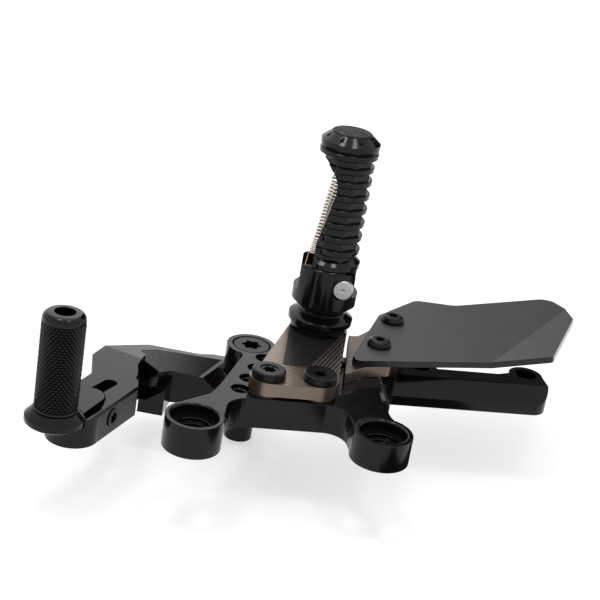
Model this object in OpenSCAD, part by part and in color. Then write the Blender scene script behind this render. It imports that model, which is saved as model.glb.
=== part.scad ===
// Right-hand rear set of a sports motorcycle: frame bracket, folding foot peg,
// brake lever with knurled toe peg, and heel guard.
// The origin is the axis of the foot peg on the plane where the bracket meets
// the frame. +Z points outboard along the peg, and X runs towards the rear arm.

/* [Frame bracket] */
// X of the left frame bolt
boss_x = -44.9; // [-60:0.1:-40]
// Y of the left frame bolt
boss_y = -95; // [-100:0.1:-90]
// Distance between the two frame bolts
boss_pitch = 79.6; // [76:0.2:84]
// Angle between the line of frame bolts and X
boss_angle = 11.6; // [9:0.2:14]
// Outside radius of the left frame boss
boss_r = 12.4; // [11.6:0.1:13.4]
// Outside radius of the right frame boss
right_boss_r = 12.8; // [12:0.1:13.6]
// Thickness of the bracket plate
plate_h = 14; // [13.4:0.1:16]
// Height of the right boss
low_top = 12.8; // [12.6:0.1:13.2]
// Radius of the holes for the M10 frame bolts
frame_bolt_r = 5.25; // [5:0.05:5.6]
// Radius of the counterbores in the frame bosses
boss_bore_r = 10; // [9:0.1:10.6]
// Depth of the counterbores in the frame bosses
boss_bore_depth = 5.2; // [4:0.1:6]
// Radius of the seat step below each counterbore
boss_step_r = 7.2; // [6.4:0.1:8]
// Depth of the seat step
boss_step_depth = 1.5; // [1:0.1:2]

/* [Adapter hole grid] */
// X of the first threaded hole
grid_x = -29.4; // [-30.4:0.1:-28.4]
// Y of the first threaded hole
grid_y = -64; // [-65:0.1:-63]
// Distance between neighbouring columns
grid_pitch = 11.2; // [10.8:0.1:11.4]
// Distance between neighbouring rows
grid_rise = 11.8; // [11.4:0.1:12]
// Angle of the rows to X
grid_angle = 11.3; // [10:0.1:12.5]
// Angle of the columns to X
grid_lean = 77.8; // [76:0.1:79]
// Radius of the threaded M8 holes
thread_r = 4; // [3.8:0.05:4.2]

/* [Rear arm] */
// Angle of the rear arm to X
arm_angle = 11.9; // [10:0.1:13]
// Thickness of the rear arm
arm_h = 12; // [10:0.1:12.4]
// Height of the straight strip under the arm's chamfer
arm_strip = 5; // [4:0.1:6]
// Width of the chamfer along the arm
arm_chamfer = 7.6; // [6:0.1:8.4]
// Distance between the two master cylinder holes
cylinder_pitch = 52; // [48:0.5:54]
// Radius of the master cylinder holes
cylinder_hole_r = 4.9; // [4:0.1:5.2]
// Outside radius of the master cylinder bosses
cylinder_boss_r = 8.1; // [7.4:0.1:9]

/* [Lever pivot] */
// X of the lever's pivot
pivot_x = -29; // [-30:0.1:-28]
// Y of the lever's pivot
pivot_y = -17.1; // [-18:0.1:-16]
// Outside radius of the pivot boss on the bracket
pivot_boss_r = 11.4; // [10:0.1:12]
// Radius of the pivot bolt's head
pivot_head_r = 8.15; // [7.6:0.05:8.6]
// Height of the pivot bolt's head
pivot_head_h = 4.6; // [4:0.1:5.5]
// Radius of the pivot bolt's shank
pivot_r = 6; // [5.6:0.1:6.4]
// Wall of the bronze bush in the lever's hub
bush_wall = 2; // [1.6:0.1:2.6]
// Radius of the sleeve nut under the lever
sleeve_r = 6.45; // [6.2:0.05:6.9]
// Length of the sleeve nut
sleeve_len = 16.4; // [14:0.1:20]

/* [Peg adapter] */
// Height of the pads that the adapter stands on
pad_h = 1.2; // [0.8:0.1:1.6]
// Thickness of the adapter
adapter_h = 6; // [5.5:0.1:7]
// Radius round the two flange bolts
adapter_corner_r = 8.1; // [8:0.1:9]
// Radius of the adapter under the peg
adapter_peg_r = 13.6; // [13:0.1:13.8]
// Depth of the dark band sunk in the adapter's top
band_depth = 0.4; // [0.3:0.05:0.8]
// Distance between the diagonal grooves beside the band
groove_pitch = 1.3; // [1.2:0.05:1.6]
// Depth of the diagonal grooves
groove_depth = 0.3; // [0.2:0.05:0.5]
// Radius of the flange bolts' heads
flange_r = 7.35; // [7:0.05:7.8]
// Height of the flange bolts' heads
flange_h = 3.9; // [3:0.1:4.4]

/* [Foot peg mount] */
// Radius of the collar under the clevis
collar_r = 15; // [14.4:0.1:15.6]
// Radius of the collar's foot on the adapter
collar_foot_r = 13.5; // [13:0.1:14]
// Height of the collar
collar_h = 9.6; // [9:0.1:11]
// Radius of the neck between collar and clevis
neck_r = 10.9; // [10:0.1:12]
// Radius of the clevis
clevis_r = 15; // [14.4:0.1:15.6]
// Height of the clevis above the collar
clevis_h = 23; // [22:0.1:26]
// Width of the slot through the clevis
slot_w = 16; // [14:0.1:17]
// Distance of the hinge pin from the peg's axis
hinge_x = 7.8; // [7.4:0.1:9]
// Height of the hinge pin above the collar
hinge_rise = 15.2; // [14.6:0.1:16]
// Radius of the hinge pin
hinge_r = 3; // [2.6:0.1:3.4]
// Radius of the hinge pin's head
hinge_head_r = 4.75; // [4.4:0.05:5]

/* [Foot peg] */
// Height of the peg's tip above the hinge pin, without the pad
peg_len = 69.7; // [66:0.1:74]
// Radius of the gripping ridges
ridge_r = 12.4; // [12:0.1:13]
// Width of each ridge
ridge_w = 2.7; // [2.4:0.1:3]
// Distance between neighbouring ridges
ridge_pitch = 6.55; // [6.3:0.05:6.6]
// Corner radius of the octagonal core
core_r = 11.4; // [11:0.1:11.8]
// Radius of the head
head_r = 13.3; // [13:0.1:14]
// Radius of the grip pad on the tip
tip_pad_r = 8.9; // [8:0.1:9.4]
// Radius of the barrel's base ring
base_ring_r = 13.6; // [13:0.1:14.2]

/* [Peg spring] */
// Outside radius of the spring
spring_r = 2.5; // [2.2:0.1:2.8]
// Radius of the spring's wire
wire_r = 0.45; // [0.4:0.05:0.5]
// Number of turns wound open
open_turns = 12; // [8:1:14]
// Number of turns wound close
close_turns = 8; // [5:1:9]

/* [Heel guard] */
// Thickness of the guard
guard_t = 3; // [2:0.1:4]
// Thickness of the arm that carries the guard
guard_arm_t = 5.3; // [4.8:0.1:6]
// Angle by which the guard's edge is bent up
guard_bend = 10; // [6:0.5:14]
// Radius of the guard screws' heads
button_r = 5.6; // [5.2:0.1:6]
// Height of the guard screws' heads
button_h = 3.3; // [3:0.1:3.6]

/* [Brake lever] */
// Thickness of the lever's front arm
front_h = 13; // [11:0.1:14]
// Height of the front arm's top above the mounting plane
front_top = 8; // [7:0.1:9]
// Thickness of the lever's hub
hub_h = 14; // [12:0.1:15]
// Gap between bracket and hub, filled by a thrust washer
hub_gap = 1.5; // [1.2:0.1:2]
// Radius of the lever's hub
hub_r = 12; // [11.4:0.1:12.6]
// Fall of the lever's long top face
lever_fall = 12.3; // [11:0.1:13]
// Radius of the hole for the push rod
rod_hole_r = 3.05; // [2.5:0.05:3.5]
// Radius of the lever's round tip
tip_r = 11.2; // [10.6:0.1:11.6]
// Depth of the seat for the toe peg's holder
seat_depth = 3.5; // [3:0.1:5]
// Width of the adjusting slot
adjust_w = 6.2; // [5.6:0.1:6.6]

/* [Toe peg] */
// X of the toe peg's axis
toe_x = -100.5; // [-101.5:0.1:-99.5]
// Y of the toe peg's axis
toe_y = -102.6; // [-103.6:0.1:-101.6]
// Radius of the toe peg
toe_r = 9.1; // [8.6:0.1:9.6]
// Length of the toe peg
toe_len = 42.9; // [38:0.1:48]
// Radius of the hole in the toe peg's cap
toe_hole_r = 4.4; // [4.3:0.1:5]
// Radius of the holder's disc
holder_r = 12.4; // [11.6:0.1:13]

/* [Hidden] */

black = "#2b2b2d";
bronze = "#857a6d";
steel = "#c9cac8";
oxide = "#3a3b3d";
brass = "#a8935c";

// Facets of a full round, and the overlap of cutting tools
$fn = 72;
cut = 1;
far = 400;
// Radial gap of a thread or a pressed pin, of a running fit, and of a loose bolt hole
thread_gap = 0.05;
press_gap = 0.02;
run_gap = 0.05;
bolt_gap = 0.3;
// Gap between moving faces
face_gap = 0.3;

boss_left = [boss_x, boss_y];
boss_right = boss_left + boss_pitch * [cos(boss_angle), sin(boss_angle)];
pivot = [pivot_x, pivot_y];
toe = [toe_x, toe_y];

adapter_z = plate_h + pad_h;
adapter_top = adapter_z + adapter_h;
collar_top = adapter_top + collar_h;
clevis_top = collar_top + clevis_h;
hinge_z = collar_top + hinge_rise;
guard_arm_top = plate_h + guard_arm_t;
guard_top = guard_arm_top + guard_t;
hub_top = -hub_gap;
hub_z = hub_top - hub_h;
front_z = front_top - front_h;
seat_z = front_top - seat_depth;

// Threaded hole of the adapter grid in a column and a row
function grid(column, row) = [grid_x, grid_y]
    + column * grid_pitch * [cos(grid_angle), sin(grid_angle)]
    + row * grid_rise * [cos(grid_lean), sin(grid_lean)];
GRID_COLUMNS = 4;
GRID_ROWS = 4;
bolt_a = grid(1, 0);
bolt_b = grid(3, 0);

function unit(v) = v / norm(v);

// Points of an arc of radius r round the corner at b, between its neighbours a and c
function corner(a, b, c, r, step = 9) = let (
    u = unit(a - b),
    v = unit(c - b),
    half = acos(u * v) / 2,
    mid = b + unit(u + v) * r / sin(half),
    first = b + u * r / tan(half) - mid,
    start = atan2(first.y, first.x),
    turn = -sign(cross(u, v)) * (180 - 2 * half),
    n = max(1, ceil(abs(turn) / step)))
    [for (i = [0:n]) mid + r * [cos(start + turn * i / n), sin(start + turn * i / n)]];

// Outline from a list of [x, y, corner radius]
function rounded(p) = let (n = len(p)) [for (i = [0:n - 1]) let (
    a = p[(i + n - 1) % n], b = p[i], c = p[(i + 1) % n])
    each b.z == 0 ? [[b.x, b.y]] : corner([a.x, a.y], [b.x, b.y], [c.x, c.y], b.z)];

// Direction of the outward normal where a belt runs from one circle to the next
function belt_normal(p, q) = let (d = [q.x - p.x, q.y - p.y])
    atan2(d.y, d.x) - 90 + asin((p.z - q.z) / norm(d));

// Outline of a belt round circles [x, y, radius] that are listed anticlockwise
function belt(c, step = 9) = let (n = len(c)) [for (i = [0:n - 1]) let (
    q = c[i],
    a = belt_normal(c[(i + n - 1) % n], q),
    b = belt_normal(q, c[(i + 1) % n]),
    sweep = ((b - a) % 360 + 360) % 360,
    m = max(1, ceil(sweep / step)))
    for (k = [0:m]) [q.x, q.y] + q.z * [cos(a + sweep * k / m), sin(a + sweep * k / m)]];

// Solid between two heights over an outline
module slab(outline, z0, z1) translate([0, 0, z0]) linear_extrude(z1 - z0) polygon(outline);

// Upright cylinder between two heights
module post(at, r, z0, z1, r2 = undef) translate([at.x, at.y, z0])
    cylinder(h = z1 - z0, r1 = r, r2 = is_undef(r2) ? r : r2);

// Half space above a plane through a point, whose normal leans by polar towards an azimuth
module above(p, polar, azimuth) translate(p) rotate([0, polar, azimuth])
    translate([-far / 2, -far / 2, 0]) cube([far, far, far / 4]);

// Outline of a six-lobed socket of radius r
function torx(r) = [for (i = [0:35]) r * (0.86 + 0.14 * cos(60 * i)) * [cos(10 * i), sin(10 * i)]];

// Six-lobed socket of radius r and a depth, cut down from a height
module torx_cut(at, r, z, depth) translate([at.x, at.y, z - depth])
    linear_extrude(depth + cut) polygon(torx(r));

// Frame bracket

// Corners of the bracket, anticlockwise from the left of the left boss
base_edge = 0.5;
base_outline = rounded([
    [boss_x - 5, boss_y - 3, 0],
    [boss_x + 5, boss_y - 5, 0],
    [boss_x + boss_r - base_edge, boss_y + 4, 0],
    [-33, -73.6, 10.5],
    [17.2, -63.4, 9.5],
    [boss_right.x - right_boss_r + base_edge, boss_right.y, 0],
    [boss_right.x, boss_right.y - 4, 0],
    [boss_right.x + right_boss_r - base_edge, boss_right.y, 0],
    [35.7, -62.5, 12],
    [29.8, -28, 0],
    [31, -12.9, 0],
    [12.5, -13.8, 5],
    [-18, -20, 5],
    [pivot_x + 8, pivot_y + 5, 0],
    [pivot_x - 4, pivot_y + 5, 0],
    [-38.2, -21, 0],
    [-31.5, -29.4, 4],
    [-38.3, -63.4, 0],
    [-41, -73.2, 7],
    [boss_x - 8.6, boss_y + 8.4, 0]]);

// Step at the right side of the plate, and the ledge below it
step_top = [29.8, -28];
step_foot = [34.5, -56.1];
step_angle = atan2(step_foot.y - step_top.y, step_foot.x - step_top.x);
ledge = [[20, -30], [33.8, -52], [35.2, -52], [36.2, -43.8], [38.9, -18.3], [38, -8], [20, -12]];

// Rear arm in its own directions: x along the arm, y away from its near wall
arm_start = [36.7, -26.7];
arm_w = 17.3;
arm_len = 77.6;
hole_offset = 18.8;
hole_end = [69.4, hole_offset];
hole_inner = hole_end - [cylinder_pitch, 0];

module along_arm() translate(arm_start) rotate([0, 0, arm_angle]) children();

module arm_blank() {
    slab(rounded([[-8, 0, 0], [arm_len, 0, 8], [hole_end.x + cylinder_boss_r - 0.3, hole_offset, 0],
        [hole_end.x - 4, hole_offset + 2, 0], [hole_end.x - 14, arm_w, 0], [-8, arm_w, 0]]), 0, arm_h);
    for (h = [hole_end, hole_inner]) post(h, cylinder_boss_r, 0, arm_h);
    // Fillets where the end boss leaves the arm's far side
    slab(rounded([[hole_end.x - 17, arm_w - 1, 0], [hole_end.x, arm_w - 1, 0],
        [hole_end.x - 5, hole_end.y + 6, 0], [hole_end.x - 9, arm_w, 4]]), 0, arm_h);
}

module rear_arm() difference() {
    along_arm() arm_blank();
    // Long chamfer down to the straight strip
    along_arm() translate([-30, 0, 0]) rotate([90, 0, 90]) linear_extrude(arm_len + 60)
        polygon([[-10, arm_strip], [0, arm_strip], [arm_chamfer, arm_h], [arm_chamfer, arm_h + cut],
            [-10, arm_h + cut]]);
    along_arm() for (h = [hole_end, hole_inner]) post(h, cylinder_hole_r, -cut, arm_h + cut);
}

module step_bevel() translate([step_top.x, step_top.y, 0]) rotate([0, 0, step_angle])
    rotate([90, 0, 90]) translate([0, 0, -6]) linear_extrude(30)
        polygon([[-2, arm_h - 2], [2, arm_h - 2], [2, arm_h], [0, plate_h - 0.2], [-2, plate_h - 0.2]]);

module frame_boss_bore(at, top) {
    post(at, frame_bolt_r, -cut, top + cut);
    post(at, boss_step_r, top - boss_bore_depth - boss_step_depth, top + cut);
    post(at, boss_bore_r, top - boss_bore_depth, top + cut);
    post(at, boss_bore_r, top - 0.6, top + 0.01, boss_bore_r + 0.6);
}

// Top of the foot that carries the right boss, which falls gently towards the boss
low_corner = [13.2, -54];
low_fall = 4.2;
low_azimuth = atan2(boss_right.y - low_corner.y, boss_right.x - low_corner.x);

module base_plate() color(black) difference() {
    union() {
        difference() {
            slab(base_outline, 0, plate_h);
            above([low_corner.x, low_corner.y, plate_h], low_fall, low_azimuth);
        }
        post(boss_left, boss_r, 0, plate_h);
        post(boss_right, right_boss_r, 0, low_top);
        post(pivot, pivot_boss_r, 0, plate_h);
        slab(ledge, 0, arm_h);
        step_bevel();
        rear_arm();
    }
    frame_boss_bore(boss_left, plate_h);
    frame_boss_bore(boss_right, low_top);
    for (c = [0:GRID_COLUMNS - 1], r = [0:GRID_ROWS - 1]) post(grid(c, r), thread_r, -cut, plate_h + cut);
    post(pivot, pivot_r + run_gap, -cut, plate_h + cut);
    post(pivot, pivot_head_r + 0.6, plate_h - pivot_head_h - 0.2, plate_h + cut);
    for (s = guard_arm_bolts) {
        post(s, 3 + bolt_gap, -cut, plate_h + cut);
        post(s, screw_head_r + 0.1, -0.01, 3.2, 3.1);
    }
}

// Peg adapter

adapter_outline = belt([[bolt_a.x, bolt_a.y, adapter_corner_r], [bolt_b.x, bolt_b.y, adapter_corner_r],
    [0, 0, adapter_peg_r]]);

// Dark band on top, bounded by the straight strip and the diagonal grooves
band_left = -13.2;
band_foot = -48.6;
groove_angle = 72.6;
groove_foot = [-1, -44];
groove_count = 8;

module band_cut() translate([0, 0, adapter_top - band_depth]) linear_extrude(band_depth + cut)
    polygon([[band_left, 8], [band_left, band_foot], [-3.6, band_foot + 2.2], groove_foot,
        groove_foot + 60 * [cos(groove_angle), sin(groove_angle)]]);

module diagonal_grooves() for (i = [1:groove_count])
    translate([groove_foot.x + i * groove_pitch / sin(groove_angle), groove_foot.y, adapter_top])
        rotate([0, 0, groove_angle]) translate([i * 1.1 - 1, 0, 0]) rotate([45, 0, 0])
            cube([60 - i * 2.2, groove_depth * sqrt(2), groove_depth * sqrt(2)], center = false);

module peg_adapter() color(bronze) difference() {
    union() {
        intersection() {
            slab(adapter_outline, adapter_z, adapter_top);
            // The waist on the left runs straight past the bolt pad
            union() {
                slab([[-24.6, -61], [-13.4, -2], [-13.4, 20], [20, 20], [20, -70], [-24.6, -70]],
                    adapter_z, adapter_top);
                post(bolt_a, adapter_corner_r + 0.01, adapter_z, adapter_top);
            }
        }
        for (b = [bolt_a, bolt_b]) post(b, flange_r, plate_h, adapter_z + cut);
    }
    band_cut();
    diagonal_grooves();
    for (b = [bolt_a, bolt_b]) {
        post(b, thread_r + bolt_gap, 0, adapter_top + cut);
        post(b, flange_r + 0.4, adapter_top - band_depth - 0.01, adapter_top + cut);
    }
    post([0, 0], 5 + bolt_gap, adapter_z - cut, adapter_top + cut);
    post([0, 0], 10.4, adapter_z - 0.01, adapter_z + 5, 5.4);
}

// Flange bolt with a six-lobed socket, its head seated at z
module flange_bolt(at, z, len) difference() {
    union() {
        post(at, flange_r, z, z + flange_h - 0.6);
        post(at, flange_r, z + flange_h - 0.6, z + flange_h, flange_r - 0.6);
        post(at, thread_r - thread_gap, z - len, z + cut);
    }
    post(at, 4.05, z + flange_h - 0.5, z + flange_h + cut);
    torx_cut(at, 3, z + flange_h, 2.6);
}

module adapter_bolts() color(oxide) for (b = [bolt_a, bolt_b])
    flange_bolt(b, adapter_top - band_depth, adapter_h - band_depth + pad_h + plate_h - 2);

// Heel guard and its arm

guard_bolt_a = [28.6, -13];
guard_bolt_b = [34.7, 18];
guard_arm_bolts = [[19, -33], [27, -20.5]];
guard_thread_r = 3;
guard_arm_end_r = 7.6;
screw_head_r = 5.8;

module heel_guard_arm() color(bronze) difference() {
    slab(rounded([[14.2, -43.4, 0.6], [17.2, -40, 2], [23.2, -32.7, 6], [34.5, -27.2, 4], [38.3, -18, 8],
        [44, 22, guard_arm_end_r], [31, 27.5, guard_arm_end_r], [23.7, 9, 9], [18.8, 0.6, 4], [14.6, -0.4, 1]]),
        plate_h, guard_arm_top);
    for (b = [guard_bolt_a, guard_bolt_b]) post(b, guard_thread_r, plate_h - cut, guard_arm_top + cut);
    for (s = guard_arm_bolts) post(s, guard_thread_r, plate_h - cut, guard_arm_top - 1);
}

module guard_arm_screws() color(oxide) for (s = guard_arm_bolts) difference() {
    union() {
        post(s, screw_head_r, 0, 3, 3);
        post(s, guard_thread_r - thread_gap, 0, guard_arm_top - 1.6);
    }
    translate([s.x, s.y, -cut]) linear_extrude(2.4 + cut) polygon(torx(2.4));
}

guard_fold = [82, -10.3];
guard_fold_angle = 62.5;

module heel_guard() color("#38383a") difference() {
    union() {
        slab(rounded([[17, -29, 1.5], [18.8, -33.8, 2.2], [guard_fold.x, guard_fold.y, 0],
            [125.4, 73.2, 0], [119, 81.9, 6], [113, 81.8, 8], [66.4, 52, 12], [46.4, 50.2, 6],
            [28.2, 23.2, 0]]), guard_arm_top, guard_top);
        // Edge bent up along the fold
        translate([guard_fold.x, guard_fold.y, guard_arm_top]) rotate([0, 0, guard_fold_angle])
            rotate([-guard_bend, 0, 0]) linear_extrude(guard_t)
                polygon(rounded([[0, 0.6, 0], [0, 0, 0], [22, -21.3, 4], [81, -9.2, 6], [94, 0, 0], [94, 0.6, 0]]));
    }
    for (b = [guard_bolt_a, guard_bolt_b])
        post(b, guard_thread_r + bolt_gap, guard_arm_top - cut, guard_top + cut);
}

// Domed button screw with a six-lobed socket, its head seated at z
module button_screw(at, z, len) difference() {
    union() {
        translate([at.x, at.y, z]) rotate_extrude() polygon(concat([[0, 0], [button_r, 0], [button_r, 0.8]],
            [for (a = [15:15:75]) [button_r - 2 + 2 * cos(a), 0.8 + (button_h - 0.8) * sin(a)]],
            [[button_r - 2, button_h], [0, button_h]]));
        post(at, guard_thread_r - thread_gap, z - len, z + cut);
    }
    torx_cut(at, 2.6, z + button_h, 2.2);
}

module heel_guard_screws() color(oxide) for (b = [guard_bolt_a, guard_bolt_b])
    button_screw(b, guard_top, guard_t + guard_arm_t - 0.4);

// Foot peg mount

mount_bolt_r = 5;
slot_z = hinge_z - 5;
ear_round_r = hinge_r + 4.2;
anchor = [-9.5, hinge_z - 0.5];
anchor_r = 1.5;
anchor_half = 9.6;

// Cylinder along Y between two places, through [x, z]
module cross_pin(at, r, y0, y1) translate([at.x, y0, at.y]) rotate([-90, 0, 0]) cylinder(h = y1 - y0, r = r);

module peg_collar() color(black) difference() {
    translate([0, 0, adapter_top]) rotate_extrude() polygon([[0, 0], [collar_foot_r, 0],
        [collar_foot_r, 2.6], [collar_r, 4], [collar_r, 6.4], [neck_r + 0.4, collar_h - 0.8],
        [neck_r, collar_h], [0, collar_h]]);
    post([0, 0], mount_bolt_r + bolt_gap, adapter_top - cut, collar_top + cut);
}

module clevis_blank() translate([0, 0, collar_top]) rotate_extrude() polygon([[0, 0], [neck_r, 0],
    [neck_r, 0.8], [clevis_r, 4.6], [clevis_r, clevis_h - 0.8], [clevis_r - 0.8, clevis_h], [0, clevis_h]]);

module peg_clevis() color(black) difference() {
    clevis_blank();
    // Slot for the peg's tongue
    translate([-far / 2, -slot_w / 2, slot_z]) cube([far, slot_w, far]);
    // Ears rounded off on the side that the peg folds to
    difference() {
        translate([hinge_x, -far / 2, hinge_z]) cube([far, far, far]);
        cross_pin([hinge_x, hinge_z], ear_round_r, -far, far);
    }
    cross_pin([hinge_x, hinge_z], hinge_r + run_gap, -far, far);
    cross_pin([hinge_x, hinge_z], hinge_head_r + 0.25, -far, -clevis_r + 4.6);
    cross_pin([hinge_x, hinge_z], hinge_head_r + 0.6, clevis_r - 4.4, far);
    cross_pin(anchor, anchor_r + press_gap, -anchor_half - 0.1, anchor_half + 0.1);
    post([0, 0], mount_bolt_r, collar_top - cut, slot_z + cut);
}

module peg_mount_bolt() color(oxide) difference() {
    union() {
        post([0, 0], 10, adapter_z, adapter_z + 4.9, mount_bolt_r);
        post([0, 0], mount_bolt_r - thread_gap, adapter_z, slot_z - 1);
    }
    translate([0, 0, adapter_z - cut]) linear_extrude(3 + cut) polygon(torx(4));
}

pin_head_out = 13.8;
pin_end = clevis_r - 2.2;
clip_y = clevis_r - 4.4;

module hinge_pin() color(steel) difference() {
    union() {
        cross_pin([hinge_x, hinge_z], hinge_head_r, -pin_head_out + 0.6, -clevis_r + 4.6);
        translate([hinge_x, -pin_head_out, hinge_z]) rotate([-90, 0, 0])
            cylinder(h = 0.6, r1 = hinge_head_r - 0.6, r2 = hinge_head_r);
        cross_pin([hinge_x, hinge_z], hinge_r, -clevis_r + 4, pin_end);
    }
    translate([hinge_x, -pin_head_out - 0.01, hinge_z]) rotate([-90, 0, 0])
        cylinder(h = 0.8, r1 = 1, r2 = 0.2);
    difference() {
        cross_pin([hinge_x, hinge_z], far, clip_y, clip_y + 0.9);
        cross_pin([hinge_x, hinge_z], hinge_r - 0.5, clip_y - cut, clip_y + 2);
    }
}

module pin_clip() color(oxide) difference() {
    cross_pin([hinge_x, hinge_z], hinge_head_r, clip_y + 0.05, clip_y + 0.85);
    cross_pin([hinge_x, hinge_z], hinge_r - 0.5 + press_gap, clip_y - cut, clip_y + 2);
    translate([hinge_x - 1.8, clip_y - cut, hinge_z - 10]) cube([3.6, 4, 10]);
}

module spring_anchor_pin() color(steel) cross_pin(anchor, anchor_r, -anchor_half, anchor_half);

// Foot peg

peg_top = hinge_z + peg_len;
barrel_z = clevis_top + face_gap;
tongue_w = slot_w - 2 * face_gap;
tongue_r = hinge_z - slot_z - face_gap;
ridge_first = barrel_z + 7.7;
RIDGES = 6;
head_z = peg_top - 5.5;
head_rim = 2.2;
flat_x = -7.7;
hook = [-2.4, peg_top - 20.2];
hook_r = 1.5;
hook_half = 4.8;

// Side of the peg that faces down on the machine: a flat with a long hollow for the spring
underside = [[-far, barrel_z - 20], [flat_x, barrel_z - 20], [flat_x, barrel_z + 10], [-2.6, peg_top - 26],
    [-2.6, peg_top - 21.5], [-4.4, peg_top - 18], [-7.2, peg_top - 14.2], [-10.2, peg_top - 11.5],
    [-10.2, peg_top - 9.4], [-far, peg_top - 9.4]];

module ridge(z, r) {
    post([0, 0], r, z - ridge_w / 2 + 0.5, z + ridge_w / 2 - 0.3);
    post([0, 0], r - 0.5, z - ridge_w / 2, z - ridge_w / 2 + 0.5, r);
    post([0, 0], r, z + ridge_w / 2 - 0.3, z + ridge_w / 2, r - 0.3);
}

module octagon_core() rotate([0, 0, 22.5]) translate([0, 0, barrel_z])
    cylinder(h = head_z - barrel_z, r = core_r, $fn = 8);

module foot_peg() color(black) difference() {
    union() {
        octagon_core();
        post([0, 0], base_ring_r, barrel_z, barrel_z + 2.2);
        post([0, 0], base_ring_r, barrel_z + 2.2, barrel_z + 4.2, base_ring_r - 2.6);
        for (i = [0:RIDGES - 1]) ridge(ridge_first + i * ridge_pitch, ridge_r);
        ridge(head_z - 9.4, ridge_r);
        ridge(head_z - 3.2, head_r);
        post([0, 0], head_r, head_z, head_z + head_rim);
        post([0, 0], head_r, head_z + head_rim, peg_top, tip_pad_r + 0.4);
        // Tongue between the clevis's ears
        cross_pin([hinge_x, hinge_z], tongue_r, -tongue_w / 2, tongue_w / 2);
        translate([hinge_x - tongue_r, -tongue_w / 2, hinge_z])
            cube([2 * tongue_r, tongue_w, barrel_z - hinge_z + cut]);
    }
    rotate([90, 0, 0]) translate([0, 0, -far / 2]) linear_extrude(far) polygon(underside);
    cross_pin([hinge_x, hinge_z], hinge_r + run_gap, -far, far);
    cross_pin(hook, hook_r + press_gap, -hook_half - 0.1, hook_half + 0.1);
    spring_channel();
    hook_slot();
    // Ring of eight drillings round the tip
    for (a = [0:45:315]) rotate([0, 0, a + 22.5]) translate([head_r - 2.3, 0, peg_top - 3.2]) cylinder(h = 6, r = 0.95);
    post([0, 0], tip_pad_r + press_gap, peg_top - 0.8, peg_top + cut);
}

spring_top = [-3.6, hook.y - 2.2];
spring_foot = [-7.9, barrel_z + 3.2];
spring_lean = atan2(spring_top.x - spring_foot.x, spring_top.y - spring_foot.y);
coil_len = norm(spring_top - spring_foot);
// Radial gap between the spring and its hollow, and between the wire and its pins
channel_gap = 0.8;
wire_gap = 0.12;
// How far the hollow runs on past each end of the coil
channel_below = 9;
channel_above = 6;

// Round-ended hollow for the spring
module spring_channel() translate([spring_foot.x, 0, spring_foot.y]) rotate([0, spring_lean, 0]) rotate_extrude()
    polygon(concat([[0, -channel_below], [spring_r + channel_gap, -channel_below]],
        [for (a = [0:18:72]) [(spring_r + channel_gap) * cos(a),
            coil_len + channel_above + (spring_r + channel_gap) * sin(a)]],
        [[0, coil_len + channel_above + spring_r + channel_gap]]));

// Narrow slot round the pin that the spring hooks on
module hook_slot() cross_pin(hook, hook_r + 2 * wire_r + 0.6, -wire_r - 0.6, wire_r + 0.6);

module peg_end_pad() color("#1c1c1d") translate([0, 0, peg_top - 0.8]) rotate_extrude()
    polygon([[0, 0], [tip_pad_r, 0], [tip_pad_r, 1.2], [tip_pad_r - 0.6, 1.5], [tip_pad_r / 2, 1.8], [0, 1.9]]);

module spring_hook_pin() color(steel) cross_pin(hook, hook_r, -hook_half, hook_half);

// Route of the spring: hook round the upper pin, open turns, close turns, leg to the lower pin
close_pitch = 2 * wire_r + 0.1;
open_pitch = (coil_len - close_turns * close_pitch) / open_turns;
TURN_STEPS = 10;
mean_r = spring_r - wire_r;

function coil_height(t) = t < close_turns ? t * close_pitch
    : close_turns * close_pitch + (t - close_turns) * open_pitch;

// Point of the coil after t turns, which start on the side away from the peg
function coil_point(t) = let (h = coil_height(t), x = -mean_r * cos(360 * t), y = -mean_r * sin(360 * t))
    [spring_foot.x + h * sin(spring_lean) + x * cos(spring_lean), y,
        spring_foot.y + h * cos(spring_lean) - x * sin(spring_lean)];

function hook_arc(c, r, a0, a1, n) = [for (i = [0:n]) let (a = a0 + (a1 - a0) * i / n)
    [c.x + r * sin(a), 0, c.y + r * cos(a)]];

spring_route = concat(
    hook_arc(anchor, anchor_r + wire_r + wire_gap, 60, 300, 12),
    [for (i = [0:(close_turns + open_turns) * TURN_STEPS]) coil_point(i / TURN_STEPS)],
    hook_arc(hook, hook_r + wire_r + wire_gap, -80, 160, 12));

// Wire of radius r along a route, with a ring of sides at each point
module wire(route, r, sides = 6) {
    n = len(route);
    rings = [for (i = [0:n - 1]) let (
        d = unit(route[min(i + 1, n - 1)] - route[max(i - 1, 0)]),
        side = unit(cross(d, abs(d.y) > 0.9 ? [1, 0, 0] : [0, 1, 0])),
        up = cross(side, d))
        for (k = [0:sides - 1]) route[i] + r * (cos(360 * k / sides) * side + sin(360 * k / sides) * up)];
    faces = concat([[for (k = [0:sides - 1]) k]],
        [for (i = [0:n - 2], k = [0:sides - 1]) let (m = (k + 1) % sides)
            [i * sides + m, i * sides + k, (i + 1) * sides + k, (i + 1) * sides + m]],
        [[for (k = [sides - 1:-1:0]) (n - 1) * sides + k]]);
    polyhedron(rings, faces, convexity = 10);
}

module return_spring() color("#c8bfa6") wire(spring_route, wire_r);

// Lever pivot

washer_h = hub_gap - 0.1;
shank_end = hub_z - 1.6;

module pivot_bolt() color(oxide) difference() {
    union() {
        post(pivot, pivot_head_r, plate_h - pivot_head_h - 0.2, plate_h - 0.2);
        post(pivot, pivot_r, shank_end, plate_h - pivot_head_h);
        post(pivot, sleeve_bore_r - thread_gap, shank_end - 11, shank_end + cut);
    }
    torx_cut(pivot, 4.6, plate_h - 0.2, 3.6);
}

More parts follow.
